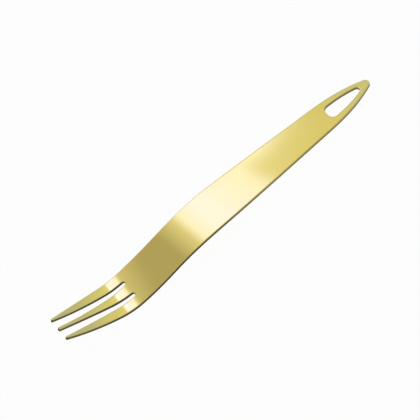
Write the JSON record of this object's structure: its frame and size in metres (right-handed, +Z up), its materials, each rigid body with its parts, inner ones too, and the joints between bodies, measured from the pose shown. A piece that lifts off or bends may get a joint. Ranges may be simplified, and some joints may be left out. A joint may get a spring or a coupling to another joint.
{
  "type": "fork",
  "caption": "Flat sheet-metal fork for eating or serving: leaf-shaped handle with a teardrop hanging eye, stepped neck and tapering upswept tines.",
  "frame": {"origin": "on the table surface, below the middle of the fork's length and width, as it lies on the end of its handle and its belly", "axes": "+X along the fork towards the end of the handle, +Y across it towards the right-hand tine when held, +Z up from the table"},
  "size_m": [0.1648, 0.0188, 0.0146],
  "materials": {
    "gold_sheet": "satin, pale gold coloured"
  },
  "bodies": {
    "root": {"hanging_eye": "gold_sheet", "handle": "gold_sheet", "shoulder": "gold_sheet", "neck": "gold_sheet", "tine_root": "gold_sheet", "left_tine": "gold_sheet", "middle_tine": "gold_sheet", "right_tine": "gold_sheet"}
  },
  "joints": []
}
